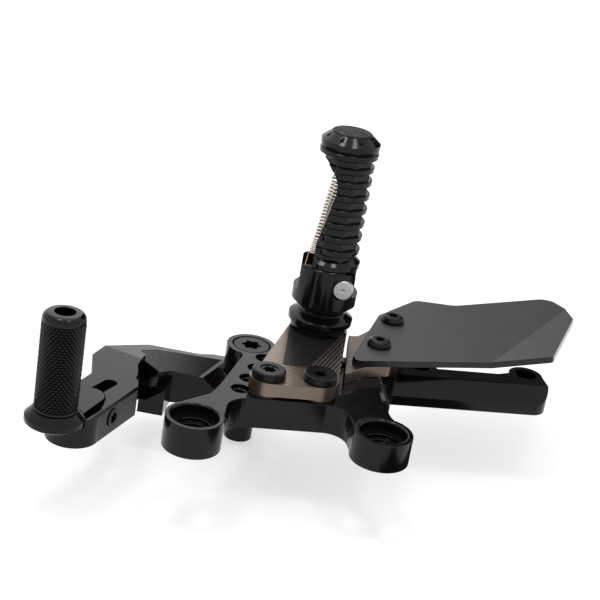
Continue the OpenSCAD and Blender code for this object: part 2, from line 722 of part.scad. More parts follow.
module washer(top, h, outer, inner) color(brass) difference() {
    post(pivot, outer, top - h, top);
    post(pivot, inner, top - h - cut, top + cut);
}

module pivot_washer_upper() washer(-0.05, washer_h, 10, pivot_r + run_gap);
module pivot_washer_lower() washer(hub_z - 0.05, 1.5, 10, pivot_r + run_gap);

sleeve_bore_r = 5;

module pivot_nut() color(oxide) difference() {
    union() {
        post(pivot, sleeve_r, shank_end - sleeve_len, shank_end - 0.02);
        post(pivot, sleeve_r + 1.1, shank_end - 2.4, shank_end - 0.02);
    }
    post(pivot, sleeve_bore_r, shank_end - sleeve_len - cut, shank_end + cut);
    post(pivot, sleeve_bore_r, shank_end - sleeve_len - 0.01, shank_end - sleeve_len + 0.8, sleeve_bore_r - 0.8);
}

module pivot_bush() color(brass) difference() {
    post(pivot, pivot_r + bush_wall - press_gap, hub_z, hub_top);
    post(pivot, pivot_r + run_gap, hub_z - cut, hub_top + cut);
}

// Brake lever

fold_left = [-93.6, -31.7];
fold_right = [-75.6, -39.2];
fold_angle = atan2(fold_right.y - fold_left.y, fold_right.x - fold_left.x);
rod_eye = [-25, 12];
rod_eye_r = 7;
rod_eye_h = 7;
slot_angle = 65.6;
slot_dir = [cos(slot_angle), sin(slot_angle)];
slot_start = 12;
slot_end = 38.5;
clamp_at = toe + 19 * slot_dir;
tip = toe + [6.4, 7.9];
edge_chamfer = 1.2;
tongue_half = 7;
tongue_end = toe + 22.5 * slot_dir;
holder_rim = 2.8;
// Gap round the toe peg's holder in its seat
seat_gap = 0.4;

front_outline = rounded([
    [tip.x - 10.4, tip.y + 3.8, 0],
    [tip.x + 10.4, tip.y - 3.8, 0],
    [-72.3, -67.9, 0.8],
    [-76.3, -46, 0],
    [-75.3, -32, 0],
    [fold_left.x, fold_left.y, 0],
    [-97.2, -43.1, 2],
    [-93.8, -61, 3]]);

arm_outline = rounded([
    [-80, -40, 0],
    [-75.6, -32.6, 0],
    [-67, -37.3, 1.5],
    [-62.6, -30.5, 4],
    [-50.2, -28.2, 3],
    [pivot_x - 4, pivot_y - 10, 0],
    [pivot_x, pivot_y, 0],
    [rod_eye.x - 9, rod_eye.y, 0],
    [-41, 2.1, 4],
    [-47.1, 0.2, 3],
    [-52.6, -5.1, 4],
    [-76.5, -11.1, 3],
    [fold_left.x, fold_left.y, 0],
    [-86, -44, 0]]);

// Underside of the long arm, which rises towards the elbow
arm_side = [[-110, front_z], [-88, front_z], [-78, hub_z], [40, hub_z], [40, 20], [-110, 20]];

// Scoop milled in the near side of the long arm
rim_far = [-42.3, -6.2];
rim_near = [-50.3, -28.6];
scoop = [[-78.4, -24.8], [-71.4, -16.3], rim_far, rim_near, [-50, -60], [-74.9, -60], [-74.9, -31.1]];

// Foot left standing under the scoop
foot_outline = [[-74.4, -44.5], [-62.9, -44.9], [-61.5, -26], [-74.4, -20]];
foot_side = [[-110, hub_z - cut], [0, hub_z - cut], [0, hub_top], [-61.4, hub_top], [-71, -9], [-110, -9]];

module lever_blank() {
    slab(front_outline, front_z, front_top);
    post(tip, tip_r, front_z, front_top);
    intersection() {
        slab(arm_outline, hub_z, front_top);
        rotate([90, 0, 0]) translate([0, 0, -far / 2]) linear_extrude(far) polygon(arm_side);
    }
    intersection() {
        slab(foot_outline, hub_z, hub_top);
        rotate([90, 0, 0]) translate([0, 0, -far / 2]) linear_extrude(far) polygon(foot_side);
    }
    post(pivot, hub_r, hub_z, hub_top);
    // Short arm for the push rod
    slab(belt([[pivot_x, pivot_y, hub_r - 2], [rod_eye.x, rod_eye.y, rod_eye_r]]), hub_z, hub_z + rod_eye_h);
}

// Seat of the toe peg's holder, with room for it to swing on the near side
module lever_seat() {
    slab(belt([[toe_x, toe_y, holder_r + seat_gap], [tongue_end.x, tongue_end.y, tongue_half + seat_gap]]),
        seat_z, far);
    slab(rounded([[toe_x, toe_y, 0], [toe_x + 9.6, toe_y - 8.2, 0], [toe_x + 17.2, toe_y + 9.6, 5],
        [toe_x + 17.1, toe_y + 20.2, 1],
        [tongue_end.x, tongue_end.y + 2, 0]]), seat_z, far);
}

module brake_lever() color(black) difference() {
    lever_blank();
    // Long top face, falling from the fold to the hub
    above([fold_left.x, fold_left.y, front_top], lever_fall, fold_angle + 90);
    // Floor of the scoop, in two planes
    intersection() {
        slab(scoop, -30, 30);
        above([-42.3, -6.1, hub_top], 10.8, -19.9);
        above([-71.4, -16.3, 3], 16.9, 3.5);
    }
    // Level top round the hub
    slab([rim_near + 2 * (rim_near - rim_far), [60, -60], [60, 60], rim_far + 2 * (rim_far - rim_near)],
        hub_top, far);
    lever_seat();
    post(pivot, pivot_r + bush_wall, hub_z - cut, hub_top + cut);
    post(rod_eye, rod_hole_r, hub_z - cut, hub_top + cut);
    slab(belt([concat(toe + slot_start * slot_dir, adjust_w / 2), concat(toe + slot_end * slot_dir, adjust_w / 2)]),
        front_z - cut, front_top + cut);
    set_screw_place() translate([0, 0, -set_screw_reach]) cylinder(h = far, r = set_screw_r + thread_gap);
    // Chamfer along the near edge and round the tip
    above([set_screw_at.x, set_screw_at.y, front_top - edge_chamfer], 45, near_wall_angle - 90);
    intersection() {
        post(tip, tip_r + 2, front_top - edge_chamfer, front_top + cut);
        difference() {
            post(tip, tip_r + 4, front_top - edge_chamfer, front_top + cut);
            post(tip, tip_r, front_top - edge_chamfer - 0.01, front_top + cut + 0.01, tip_r - edge_chamfer - cut);
        }
        translate([tip.x - 20, tip.y - 40, -far / 2]) cube([26, 40, far]);
    }
}

// Toe peg

// Top of the holder's tongue, and the height at which the toe peg stands on the holder's cone
tongue_top = front_top + 0.2;
toe_z = front_top + 2.4;

module toe_peg_holder() color(black) difference() {
    union() {
        slab(belt([[toe_x, toe_y, toe_r], [tongue_end.x, tongue_end.y, tongue_half]]), seat_z, tongue_top);
        post(toe, holder_r - 0.7, seat_z, seat_z + 0.7, holder_r);
        post(toe, holder_r, seat_z + 0.7, seat_z + holder_rim);
        post(toe, holder_r, seat_z + holder_rim, toe_z, toe_r + 0.3);
    }
    post(toe, thread_r, seat_z - cut, far);
    post(clamp_at, 2.5, seat_z - cut, tongue_top - 1.2);
}

toe_top = toe_z + toe_len;

module toe_peg() color("#232324") difference() {
    translate([toe_x, toe_y, toe_z]) rotate_extrude() polygon(concat([[0, 0], [toe_r - 0.8, 0], [toe_r, 0.8],
        [toe_r, toe_len - 3.4]], [for (a = [15:15:75]) [toe_r - 3.4 + 3.4 * cos(a), toe_len - 3.4 + 3.4 * sin(a)]],
        [[toe_r - 3.4, toe_len], [0, toe_len]]));
    post(toe, toe_hole_r, toe_top - 12, toe_top + cut);
    post(toe, thread_r + bolt_gap, toe_z - cut, toe_top);
}

module toe_peg_bolt() color(oxide) difference() {
    union() {
        post(toe, toe_hole_r - 0.1, toe_top - 12, toe_top - 5);
        post(toe, thread_r - thread_gap, seat_z + 0.5, toe_top - 11);
    }
    torx_cut(toe, 2.6, toe_top - 5, 3);
}

module holder_clamp_screw() color(oxide) difference() {
    union() {
        post(clamp_at, 5.2, front_z - 3.4, front_z);
        post(clamp_at, 2.5 - thread_gap, front_z - cut, tongue_top - 2);
    }
    translate([clamp_at.x, clamp_at.y, front_z - 4.4]) linear_extrude(3) polygon(torx(2.2));
}

// Screw in the lever's near wall that locks the holder
set_screw_at = [toe_x + 21.5, toe_y + 16, 2];
near_wall_angle = 69.5;
set_screw_r = 4.2;
// Distance from the screw's face to the side of the holder's tongue
set_screw_reach = (set_screw_at.x - toe_x) * sin(slot_angle) - (set_screw_at.y - toe_y) * cos(slot_angle) - tongue_half;

module set_screw_place() translate(set_screw_at) rotate([0, 0, near_wall_angle - 90]) rotate([0, 90, 0]) children();

module lever_set_screw() color(oxide) set_screw_place() difference() {
    translate([0, 0, 2 * face_gap - set_screw_reach]) cylinder(h = set_screw_reach - face_gap, r = set_screw_r);
    translate([0, 0, -2.4]) linear_extrude(5) polygon(torx(2.6));
}

base_plate();
peg_adapter();
adapter_bolts();
heel_guard_arm();
guard_arm_screws();
heel_guard();
heel_guard_screws();
peg_collar();
peg_clevis();
peg_mount_bolt();
hinge_pin();
pin_clip();
spring_anchor_pin();
foot_peg();
peg_end_pad();
spring_hook_pin();
return_spring();
pivot_bolt();
pivot_washer_upper();
pivot_washer_lower();
pivot_nut();
brake_lever();
pivot_bush();
toe_peg_holder();
toe_peg();
toe_peg_bolt();
holder_clamp_screw();
lever_set_screw();
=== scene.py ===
import math

import bpy
from mathutils import Matrix, Vector


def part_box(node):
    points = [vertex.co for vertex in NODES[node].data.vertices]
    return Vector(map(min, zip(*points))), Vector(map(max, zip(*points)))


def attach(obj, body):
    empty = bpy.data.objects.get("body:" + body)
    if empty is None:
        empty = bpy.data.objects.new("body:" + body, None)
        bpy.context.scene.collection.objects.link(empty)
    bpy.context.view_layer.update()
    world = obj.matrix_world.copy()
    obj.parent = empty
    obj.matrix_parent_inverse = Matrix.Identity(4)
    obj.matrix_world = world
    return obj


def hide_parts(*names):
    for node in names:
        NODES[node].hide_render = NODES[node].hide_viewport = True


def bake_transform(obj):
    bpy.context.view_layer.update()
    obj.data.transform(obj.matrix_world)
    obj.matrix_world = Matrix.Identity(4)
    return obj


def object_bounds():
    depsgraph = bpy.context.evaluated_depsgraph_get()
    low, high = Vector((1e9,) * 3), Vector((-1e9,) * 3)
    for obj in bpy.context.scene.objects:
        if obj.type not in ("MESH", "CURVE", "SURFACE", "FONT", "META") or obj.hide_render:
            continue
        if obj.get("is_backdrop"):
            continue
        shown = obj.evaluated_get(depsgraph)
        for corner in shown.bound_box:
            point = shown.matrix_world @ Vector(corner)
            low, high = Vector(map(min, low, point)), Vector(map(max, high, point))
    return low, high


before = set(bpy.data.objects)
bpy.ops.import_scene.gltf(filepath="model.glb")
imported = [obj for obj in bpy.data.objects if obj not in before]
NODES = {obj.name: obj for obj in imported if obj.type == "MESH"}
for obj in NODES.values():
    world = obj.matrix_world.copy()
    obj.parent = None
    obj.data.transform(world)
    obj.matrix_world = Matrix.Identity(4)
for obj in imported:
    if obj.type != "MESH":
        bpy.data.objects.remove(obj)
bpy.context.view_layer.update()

bl_info = {
    "name": "Rear Set Finisher",
    "version": (1, 0, 0),
    "blender": (4, 5, 0),
    "location": "3D View > Sidebar > Rear Set",
    "description": "Finishes, knurl, threads, spring and studio for a motorcycle rear set",
    "category": "Object",
}

MM = 0.001

# Where no unit is given, the constants below are in millimetres and degrees, in the frame of the part's source

# CAD pieces whose edges are broken by the wider of the two widths
LARGE = ("base_plate", "brake_lever", "peg_adapter", "heel_guard", "heel_guard_arm")
# CAD points this near are one, triangles up to the first angle are one face, and edges from the second are broken
WELD = 0.002
FLAT_ANGLE = 0.3
SHARP_ANGLE = 32

# Top of the peg adapter: the bolt pad, the strip left of the black band, the band, and the heights of the band's
# sunk face and of the grooves
PAD_Y = (-80, -48.6)
STRIP_X = (-30, -13.2)
BAND_Y = (-49, 30)
BAND_Z = (20.7, 21.0)
GROOVE_Z = (20.8, 22)
CUTTER_STEP = 2.0
# Diagonal grooves beside the band: angle and foot as in the part's source, whose own pitch is 1.3
GROOVE_ANGLE = 72.6
GROOVE_FOOT = (-1, -44)
GROOVE_PITCH = 1.65
# As shares of the pitch: where the first groove may start, how far the pattern is shifted, how wide a groove is
GROOVE_START, GROOVE_SHIFT, GROOVE_WIDTH = 0.3, 0.25, 0.5

# Shine of the black dye, and the band's dye in linear colours
BLACK_SPECULAR = 0.23
BAND_DYE = (0.012, 0.011, 0.011)
# Linear colour of the wire where it is bright, and the heights between which its heat tint fades out
BRIGHT_WIRE = (0.86, 0.84, 0.8)
HEAT_Z = (54, 62)

# Toe peg: plain ring under the knurl, lap of foot and cap into it, dome of the cap, depth of the wide bore, length
# of its overlap with the narrow one, and how much smaller that one's radius is
TOE_FOOT = 0.9
TOE_LAP = 0.4
TOE_DOME = 3
TOE_BORE = 12
TOE_BORE_LAP = 1
TOE_SHAFT_STEP = 0.1
BORE_SIDES = 48
# Seams of the toe peg: points of neighbouring tiles meet within the first, slivers of the unions within the second
MEET = 0.01
SLIVER = 0.02

# Threaded holes of the bracket, as in the part's source: first hole, radius, steps along and up, and their angles
GRID_FIRST = (-29.4, -64)
GRID_HOLE = 4
GRID_PITCH, GRID_ANGLE = 11.2, 11.3
GRID_RISE, GRID_LEAN = 11.8, 77.8
GRID_SIDE = 4
# A thread starts at this height, is this long and is sunk this far into the wall; its ridge is a triangle whose
# circle measures this share of the thread's height
THREAD_START = 1.4
THREAD_LENGTH = 11.6
THREAD_SUNK = 0.1
THREAD_SHARE = 0.85

# The two pins of the return spring and the ends of its coil, as x and z in the part's source
ANCHOR = (-9.5, 45.5)
HOOK = (-2.4, 95.5)
COIL_FOOT = (-7.9, 57.3)
COIL_TOP = (-3.6, 93.3)
PIN = 1.5
# Gap between wire and pin, gap between the close turns, the angles of the two hooks, and points per hook and turn
PIN_GAP = 0.12
TURN_GAP = 0.1
ANCHOR_HOOK = (60, 300)
PEG_HOOK = (-80, 160)
ROUTE_STEPS = 24

# Strength of the tent's light on the pieces and as the camera and a gloss see it
TENT_LIGHT, TENT_SEEN = 0.75, 1.0
# The floor: side in metres, gap under the lowest piece, grey, and glow as the camera and a gloss see it
FLOOR_SIZE = 6
FLOOR_GAP = 0.5
FLOOR_GREY = 0.6
FLOOR_GLOW = 0.55
# Lamps that look at the origin: place, width and height in metres, power in watts
LAMPS = (
    ("Top softbox", (-0.2, 0.5, 0.9), 0.9, 0.9, 2.2),
    ("Back softbox", (-0.55, 1.4, 0.72), 1.3, 0.8, 1.9),
    ("Left spot box", (-0.3, -0.08, 1.05), 0.2, 0.2, 1.6),
    ("Right spot box", (0.17, -0.13, 1.05), 0.16, 0.16, 1.0),
)


def linear(code):
    """A hex sRGB colour as linear red, green and blue."""
    parts = [int(code[i:i + 2], 16) / 255 for i in (1, 3, 5)]
    return tuple(c / 12.92 if c <= 0.04045 else ((c + 0.055) / 1.055) ** 2.4 for c in parts)


def colour(name, words, code):
    """A colour property that starts at a hex sRGB value."""
    return bpy.props.FloatVectorProperty(
        name=name, description=words, subtype="COLOR", size=3, min=0, max=1, default=linear(code))


def length(name, words, mm):
    """A length property that starts at a size in millimetres."""
    return bpy.props.FloatProperty(
        name=name, description=words, unit="LENGTH", precision=5, default=mm * MM)


class RearSetFinishes(bpy.types.PropertyGroup):
    black: colour("Black", "Dye of the black anodised pieces", "#0d0c0d")
    bronze: colour("Bronze", "Dye of the bronze anodised pieces", "#7a6e64")
    guard: colour("Guard", "Dye of the bead-blasted heel guard", "#464546")
    oxide: colour("Screws", "Black oxide on the screws", "#0d0d0e")
    stainless: colour("Stainless", "Turned stainless pins", "#b8b6b8")
    wire: colour("Spring wire", "Passivated spring wire", "#b09a7c")
    sinter: colour("Bush", "Sintered bronze of bush and washers", "#9a7a45")
    grit: colour("Grit", "Grained pad on the peg's tip", "#161616")
    edge: length("Edge break", "Width of the broken edges of the large pieces", 0.28)
    fine_edge: length("Fine edge", "Width of the broken edges of turned pieces and screws", 0.14)


class RearSetKnurl(bpy.types.PropertyGroup):
    radius: length("Radius", "Outside radius of the toe peg", 9.1)
    bore: length("Bore", "Radius of the hole in the cap", 4.4)
    around: bpy.props.IntProperty(name="Diamonds around", description="Diamonds round the toe peg", default=28)
    rows: bpy.props.IntProperty(name="Rows", description="Rows of diamonds along the toe peg", default=16)
    pitch: length("Pitch", "Height of one row of diamonds", 2.4)
    depth: length("Depth", "Depth of the knurl's grooves", 0.8)
    cap: length("Cap", "How far the cap stands below the knurl's crests", 0.2)


class RearSetThreads(bpy.types.PropertyGroup):
    pitch: length("Pitch", "Pitch of the M8 threads", 1.25)
    height: length("Height", "Height of the thread's ridge", 0.6)


class RearSetSpring(bpy.types.PropertyGroup):
    wire: length("Wire", "Radius of the wire", 0.45)
    coil: length("Coil", "Outside radius of the coil", 2.5)
    close_turns: bpy.props.IntProperty(name="Close turns", description="Turns wound close", default=7)
    open_turns: bpy.props.IntProperty(name="Open turns", description="Turns wound open", default=18)


class RearSetStudio(bpy.types.PropertyGroup):
    place: bpy.props.FloatVectorProperty(
        name="Camera place", description="Where the camera stands", subtype="TRANSLATION", unit="LENGTH",
        default=(-0.010616, -0.607337, 0.281755))
    lens: bpy.props.FloatProperty(name="Lens", description="Focal length in millimetres", default=84.8)
    sensor: bpy.props.FloatProperty(name="Sensor", description="Sensor width in millimetres", default=36)
    right: bpy.props.FloatVectorProperty(
        name="Right", description="Direction of the picture's right", subtype="DIRECTION",
        default=(0.98585, 0.0636, 0.1551))
    up: bpy.props.FloatVectorProperty(
        name="Up", description="Direction of the picture's top", subtype="DIRECTION",
        default=(-0.1676, 0.3741, 0.9121))


def settings(context):
    """The groups of sizes and colours, by the names of their properties on the scene."""
    return {key: getattr(context.scene, key) for key in GROUPS}


def fresh():
    """Leaves nothing selected, so that an operator acts on the new primitive alone."""
    if bpy.context.mode != "OBJECT":
        bpy.ops.object.mode_set(mode="OBJECT")
    bpy.ops.object.select_all(action="DESELECT")


def take(piece):
    """Selects one piece alone and makes it the active one."""
    fresh()
    piece.select_set(True)
    bpy.context.view_layer.objects.active = piece


def pick(piece, test, kind="VERT"):
    """Goes to edit mode with only the points, edges or faces selected whose middle passes a test."""
    take(piece)
    bpy.ops.object.mode_set(mode="EDIT")
    bpy.ops.mesh.select_mode(type=kind)
    bpy.ops.mesh.select_all(action="DESELECT")
    bpy.ops.object.mode_set(mode="OBJECT")
    mesh = piece.data
    if kind == "VERT":
        chosen = [(point, point.co) for point in mesh.vertices]
    elif kind == "EDGE":
        chosen = [(edge, (mesh.vertices[edge.vertices[0]].co + mesh.vertices[edge.vertices[1]].co) / 2)
                  for edge in mesh.edges]
    else:
        chosen = [(face, face.center) for face in mesh.polygons]
    for item, middle in chosen:
        item.select = test(middle)
    bpy.ops.object.mode_set(mode="EDIT")


def settle(piece, name):
    """Names a finished piece, applies its modifiers and puts its place into its mesh."""
    take(piece)
    for modifier in list(piece.modifiers):
        bpy.ops.object.modifier_apply(modifier=modifier.name)
    bpy.ops.object.transform_apply(location=True, rotation=True, scale=True)
    piece.name = name
    piece.data.name = name


def join_solid(piece, tool, operation):
    """Unites a piece with a tool or cuts the tool out of it, and deletes the tool."""
    made = piece.modifiers.new(operation, "BOOLEAN")
    made.operation = operation
    made.solver = "EXACT"
    made.object = tool
    take(piece)
    bpy.ops.object.modifier_apply(modifier=made.name)
    bpy.data.objects.remove(tool)


def paint(piece, material):
    """Gives a piece one material in place of all it has."""
    piece.data.materials.clear()
    piece.data.materials.append(material)


def place_piece(piece, material, body, replaced=None):
    """Gives a new piece its finish and its body, and hides the CAD node that it stands for."""
    paint(piece, material)
    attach(piece, body)
    if replaced:
        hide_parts(replaced)


def add(tree, kind, inputs=None, **options):
    """Adds a node, sets its properties, and fills or links its sockets."""
    made = tree.nodes.new("ShaderNode" + kind)
    for key, value in options.items():
        setattr(made, key, value)
    for key, value in (inputs or {}).items():
        if isinstance(value, bpy.types.NodeSocket):
            tree.links.new(value, made.inputs[key])
        else:
            made.inputs[key].default_value = value
    return made


def new_material(name):
    """An empty material with its tree, shader and Object coordinates."""
    material = bpy.data.materials.new(name)
    material.use_nodes = True
    tree = material.node_tree
    tree.nodes.clear()
    shader = add(tree, "BsdfPrincipled")
    add(tree, "OutputMaterial", {"Surface": shader.outputs["BSDF"]})
    place = add(tree, "TexCoord").outputs["Object"]
    return material, tree, shader, place


def mix(tree, share, first, second):
    """Mixes two colours by a share."""
    made = add(tree, "Mix", data_type="RGBA")
    # Sockets 0, 6 and 7 are the factor and the two colours
    for socket, value in ((made.inputs[0], share), (made.inputs[6], first), (made.inputs[7], second)):
        if isinstance(value, bpy.types.NodeSocket):
            tree.links.new(value, socket)
        else:
            socket.default_value = (*value, 1)
    return made.outputs[2]


def scaled(tree, value, low, high):
    """Maps a value from 0..1 to low..high."""
    return add(tree, "MapRange", {"Value": value, "To Min": low, "To Max": high}).outputs["Result"]


def ramp(tree, value, first, last):
    """0 at a first value and 1 at a last one, with a straight line between them."""
    return add(tree, "MapRange", {"Value": value, "From Min": first, "From Max": last}).outputs["Result"]


def calc(tree, operation, *values):
    """One sum on values and sockets."""
    return add(tree, "Math", dict(enumerate(values)), operation=operation).outputs[0]


def product(tree, first, *others):
    """Multiplies values."""
    for other in others:
        first = calc(tree, "MULTIPLY", first, other)
    return first


def rest(tree, value):
    """What a share leaves of the whole."""
    return calc(tree, "SUBTRACT", 1.0, value)


def noise(tree, place, mm, detail=2.0, stretch=(1, 1, 1)):
    """Noise whose grain is mm wide, stretched along an axis."""
    turned = add(tree, "Mapping", {"Vector": place, "Scale": stretch})
    return add(tree, "TexNoise", {"Vector": turned.outputs["Vector"], "Scale": 1 / (mm * MM),
                                  "Detail": detail, "Roughness": 0.55}).outputs["Fac"]


def bump(tree, height, mm, base=None):
    """A bump of mm from a height of 0..1, on top of another bump."""
    inputs = {"Height": height, "Distance": mm * MM, "Strength": 1.0}
    if base is not None:
        inputs["Normal"] = base
    return add(tree, "Bump", inputs).outputs["Normal"]


def link(tree, shader, **sockets):
    """Fills or links sockets of the shader, named with underscores."""
    for key, value in sockets.items():
        socket = shader.inputs[key.replace("_", " ")]
        if isinstance(value, bpy.types.NodeSocket):
            tree.links.new(value, socket)
        else:
            socket.default_value = value


def facing_up(tree):
    """How far a surface looks up the peg's axis: 1 straight up, 0 sideways, -1 down."""
    normal = add(tree, "TexCoord").outputs["Normal"]
    return add(tree, "SeparateXYZ", {"Vector": normal}).outputs["Z"]


def between(tree, value, limits):
    """1 where a value lies between two limits in millimetres, 0 elsewhere."""
    low, high = limits
    return product(tree, calc(tree, "GREATER_THAN", value, low * MM), calc(tree, "LESS_THAN", value, high * MM))


def ripple(tree, value, mm):
    """Straight ridges mm apart, from 0 in the valleys to 1 on the crests."""
    turn = calc(tree, "MULTIPLY", value, math.tau / (mm * MM))
    return ramp(tree, calc(tree, "SINE", turn), -1, 1)


def wave_scale(mm):
    """Scale of a band wave whose bands are mm apart."""
    return math.tau / (20 * mm * MM)


def shade_of(tint, share):
    """A darker or lighter shade of a tint."""
    return tuple(min(1.0, c * share) for c in tint)


def anodised(name, tint, gloss, cloud_mm, specular=BLACK_SPECULAR, grain_mm=0.3):
    """Dyed oxide on blasted aluminium: a glassy skin over a nearly black ground."""
    material, tree, shader, place = new_material(name)
    blast = noise(tree, place, grain_mm)
    cloud = noise(tree, place, cloud_mm)
    link(tree, shader, Base_Color=mix(tree, cloud, shade_of(tint, 0.7), tint), Normal=bump(tree, blast, mm=0.003),
         Roughness=scaled(tree, cloud, gloss, gloss + 0.07), Specular_IOR_Level=specular)
    return material, tree, shader, place


def black_anodised_aluminium(tint):
    """Deep black that turns mid grey where it mirrors the tent at a glance; the edges flash."""
    return anodised("Black anodised aluminium", tint, gloss=0.1, cloud_mm=9.0)[0]


def knurled_aluminium(tint, knurl):
    """The same black dye on a cut knurl, with a painted highlight on the crests and painted shade deep in the
    grooves.
    """
    material, tree, shader, place = anodised(
        "Knurled black aluminium", tint, gloss=0.12, cloud_mm=4.0, specular=0.26)
    low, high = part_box("toe_peg")
    centre = (low + high) / 2
    at = add(tree, "VectorMath", {0: place, 1: (centre.x, centre.y, 0)}, operation="SUBTRACT").outputs["Vector"]
    flat = add(tree, "VectorMath", {0: at, 1: (1, 1, 0)}, operation="MULTIPLY").outputs["Vector"]
    reach = add(tree, "VectorMath", {0: flat}, operation="LENGTH").outputs["Value"]
    # Painted light: by distance from the axis, the crests get a painted highlight and the grooves painted shade
    crest = ramp(tree, reach, knurl.radius - 0.7 * knurl.depth, knurl.radius)
    link(tree, shader, Base_Color=mix(tree, crest, shade_of(tint, 0.3), shade_of(tint, 1.6)))
    return material


def milled_black_aluminium(tint):
    """Black anodised lever: the same skin, with fine passes of the cutter on its sloping faces."""
    material, tree, shader, place = anodised("Milled black aluminium", tint, gloss=0.13, cloud_mm=9.0)
    turned = add(tree, "Mapping", {"Vector": place, "Rotation": (0, 0, math.radians(-20))})
    passes = add(tree, "TexWave", {"Vector": turned.outputs["Vector"], "Scale": wave_scale(0.9),
                                   "Distortion": 0.6, "Detail": 1.0}, wave_type="BANDS", bands_direction="X")
    normal = facing_up(tree)
    leaning = ramp(tree, normal, 0.975, 0.955)
    upward = calc(tree, "GREATER_THAN", normal, 0.8)
    height = product(tree, passes.outputs["Fac"], leaning, upward)
    base = shader.inputs["Normal"].links[0].from_socket
    link(tree, shader, Normal=bump(tree, height, mm=0.14, base=base))
    return material


def matte_guard(tint):
    """Aluminium plate with a coarse bead blast under black dye: an even grey with hardly any
    reflection, and deep black cut edges."""
    material, tree, shader, place = anodised(
        "Blasted black aluminium plate", tint, gloss=0.4, cloud_mm=14.0, specular=0.36, grain_mm=0.35)
    speckle = noise(tree, place, mm=0.5, detail=3.0)
    face = ramp(tree, calc(tree, "ABSOLUTE", facing_up(tree)), 0.5, 0.85)
    blasted = shader.inputs["Base Color"].links[0].from_socket
    link(tree, shader, Base_Color=mix(tree, face, shade_of(tint, 0.06), blasted),
         Roughness=scaled(tree, face, 0.14, 0.42), Normal=bump(tree, speckle, mm=0.014))
    return material


def bronze_skin(name, tint):
    """Aluminium under a thin bronze dye: a metal sheen in warm grey brown."""
    material, tree, shader, place = new_material(name)
    cloud = noise(tree, place, mm=7.0)
    surface = mix(tree, cloud, shade_of(tint, 0.86), tint)
    shade = bump(tree, noise(tree, place, mm=0.25), mm=0.008)
    link(tree, shader, Base_Color=surface, Roughness=scaled(tree, cloud, 0.3, 0.38), Normal=shade, Metallic=1.0)
    return material, tree, shader, place, surface, shade


def milled_bronze_aluminium(tint):
    """The same skin on the peg adapter, with cutter lines, the black band and the diagonal grooves."""
    material, tree, shader, place, surface, shade = bronze_skin("Milled bronze aluminium", tint)
    at = add(tree, "SeparateXYZ", {"Vector": place}).outputs
    top = ramp(tree, facing_up(tree), 0.97, 0.99)
    # Cutter passes across the bolt pad, and fine ones along the strip beside the band
    pad = between(tree, at["Y"], PAD_Y)
    off_pad = rest(tree, pad)
    across = ripple(tree, at["Y"], CUTTER_STEP)
    along = scaled(tree, noise(tree, place, mm=0.35, stretch=(1, 0.015, 1)), 0.0, 0.35)
    lines = calc(tree, "ADD", product(tree, across, pad, top),
                 product(tree, along, between(tree, at["X"], STRIP_X), off_pad, top))
    shade = bump(tree, lines, mm=0.06, base=shade)
    surface = mix(tree, lines, surface, shade_of(tint, 2.2))
    # The sunk band and the grooves keep the black dye, and the crests between the grooves are paler
    band = product(tree, between(tree, at["Z"], BAND_Z), between(tree, at["Y"], BAND_Y), top)
    lean = math.radians(GROOVE_ANGLE)
    side = add(tree, "VectorMath", {0: place, 1: (math.sin(lean), -math.cos(lean), 0)},
               operation="DOT_PRODUCT").outputs["Value"]
    first = (GROOVE_FOOT[0] * math.sin(lean) - GROOVE_FOOT[1] * math.cos(lean)) * MM
    steps = calc(tree, "DIVIDE", calc(tree, "SUBTRACT", side, first), GROOVE_PITCH * MM)
    beside = calc(tree, "GREATER_THAN", steps, GROOVE_START)
    part = calc(tree, "FRACT", calc(tree, "ADD", steps, GROOVE_SHIFT))
    groove = product(tree, calc(tree, "LESS_THAN", part, GROOVE_WIDTH), beside, off_pad,
                     between(tree, at["Z"], GROOVE_Z))
    crest = product(tree, rest(tree, groove), beside, off_pad, top)
    surface = mix(tree, crest, surface, shade_of(tint, 2.6))
    dyed = calc(tree, "MAXIMUM", band, groove)
    surface = mix(tree, dyed, surface, BAND_DYE)
    link(tree, shader, Base_Color=surface, Normal=shade, Metallic=rest(tree, dyed),
         Specular_IOR_Level=BLACK_SPECULAR)
    return material


def bronze_anodised_aluminium(tint):
    """The heel guard's arm, without the adapter's lines."""
    return bronze_skin("Bronze anodised aluminium", tint)[0]


def black_oxide_steel(tint):
    """Turned steel screws with black oxide: dark with a low oily sheen."""
    material, tree, shader, place = new_material("Black oxide steel")
    grain = noise(tree, place, mm=0.2)
    cloud = noise(tree, place, mm=3.0)
    link(tree, shader, Base_Color=mix(tree, cloud, tint, shade_of(tint, 1.5)),
         Roughness=scaled(tree, cloud, 0.24, 0.36), Normal=bump(tree, grain, mm=0.006), Specular_IOR_Level=0.2)
    return material


def turned_stainless(tint):
    """Turned stainless steel, rubbed to an even satin."""
    material, tree, shader, place = new_material("Turned stainless steel")
    haze = noise(tree, place, mm=1.5)
    link(tree, shader, Base_Color=(*tint, 1), Roughness=scaled(tree, haze, 0.34, 0.42),
         Normal=bump(tree, haze, mm=0.003), Metallic=1.0)
    return material


def spring_wire(tint):
    """Drawn stainless spring wire: bright, with a straw tint from heat on the leg and here and there."""
    material, tree, shader, place = new_material("Drawn spring wire")
    height = add(tree, "SeparateXYZ", {"Vector": place}).outputs["Z"]
    heat = ramp(tree, height, HEAT_Z[0] * MM, HEAT_Z[1] * MM)
    blush = scaled(tree, noise(tree, place, mm=5.0), 0.45, 1.0)
    link(tree, shader, Base_Color=mix(tree, product(tree, heat, blush), tint, BRIGHT_WIRE),
         Roughness=0.22, Metallic=1.0)
    return material


